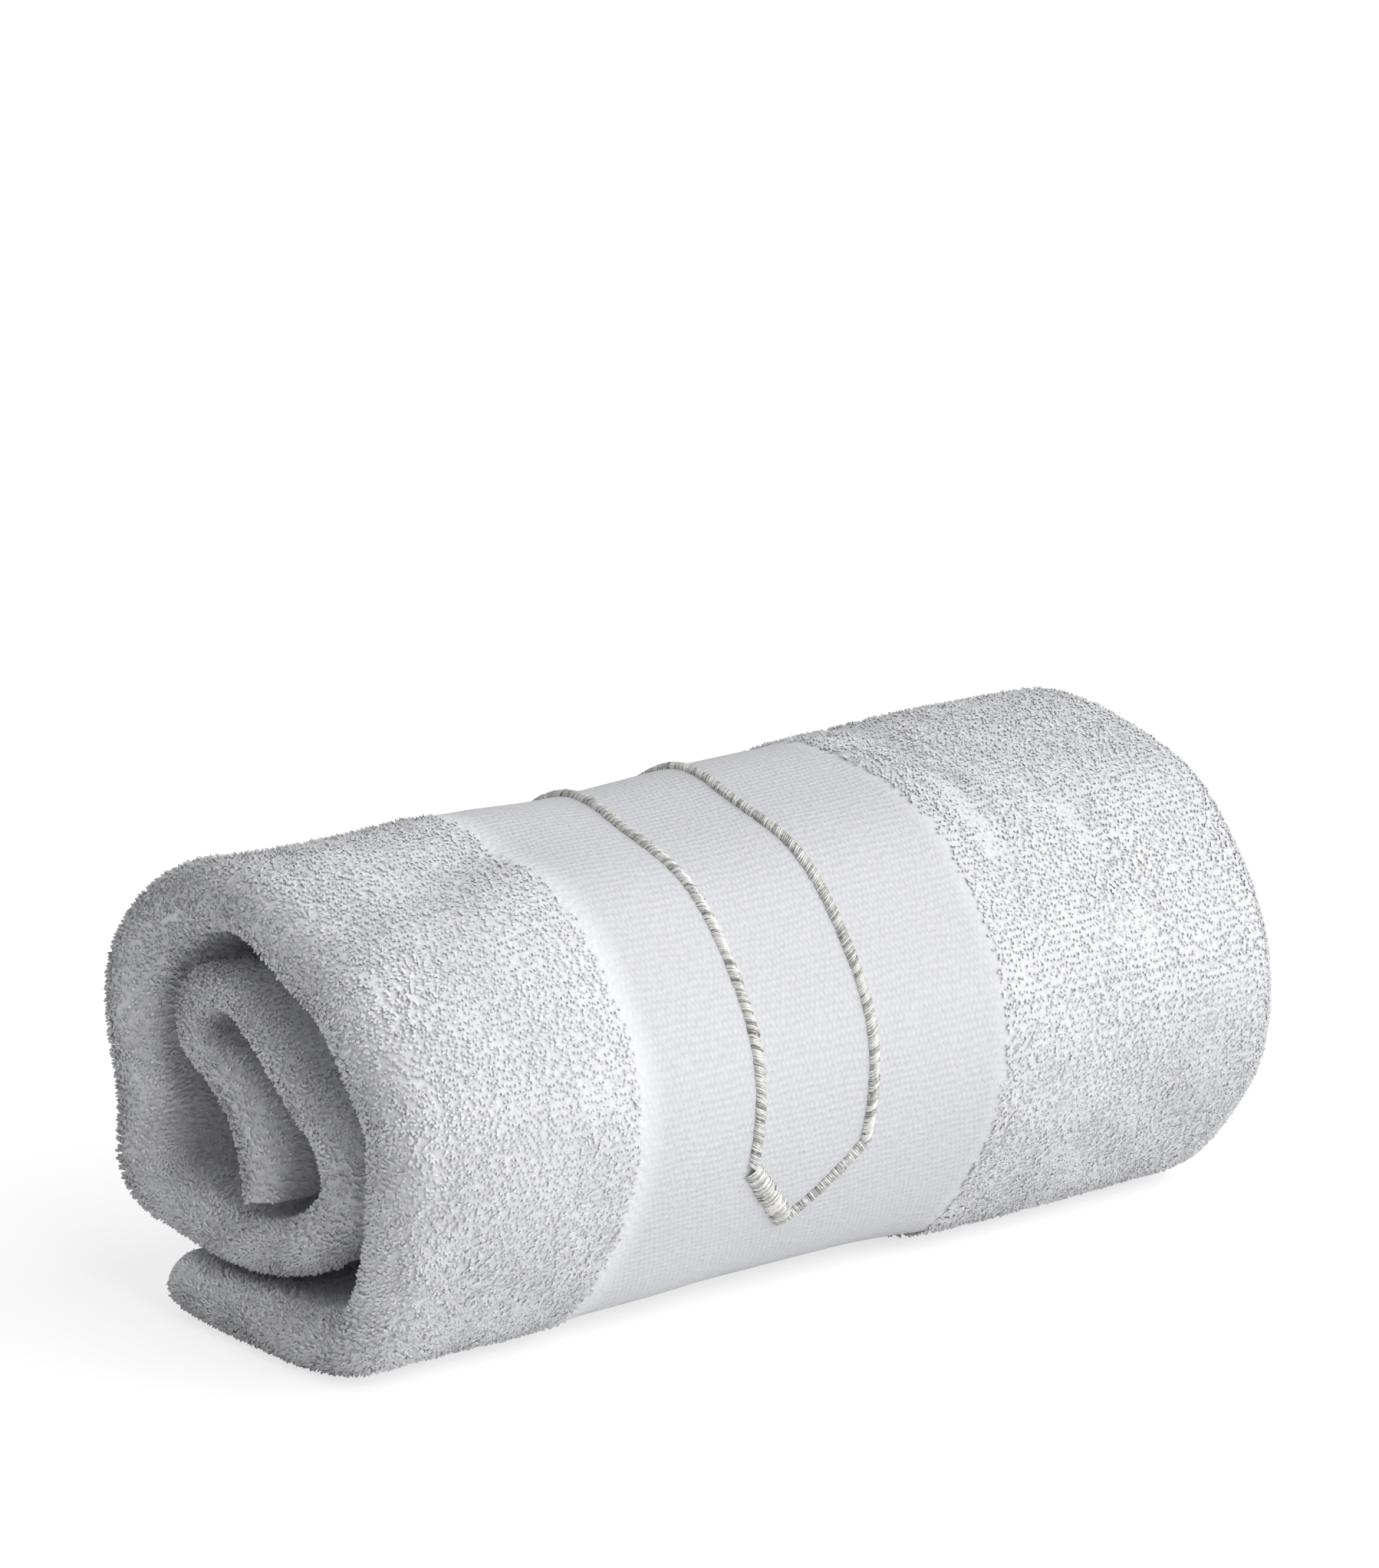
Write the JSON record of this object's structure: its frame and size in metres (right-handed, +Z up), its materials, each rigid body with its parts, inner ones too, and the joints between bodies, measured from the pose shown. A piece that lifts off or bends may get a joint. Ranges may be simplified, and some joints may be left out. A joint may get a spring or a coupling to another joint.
{
  "type": "rolled hand towel",
  "caption": "White terry hand towel folded in four along its length and rolled up, with a flat woven border band across the outside; lies on its underside.",
  "frame": {"origin": "on the surface the roll lies on, below the middle of its bounding box", "axes": "+X along the roll, from the end with the folds to the end with the hems; +Y towards the side where the loose end of the strip is tucked below; +Z up"},
  "size_m": [0.225, 0.119, 0.1035],
  "materials": {
    "white_terry": "white cotton terry with loops, and a flat woven band of the same cotton",
    "silver_thread": "silver-grey lustrous embroidery thread in satin stitch"
  },
  "bodies": {
    "root": {"towel_roll": "white_terry"}
  },
  "joints": []
}
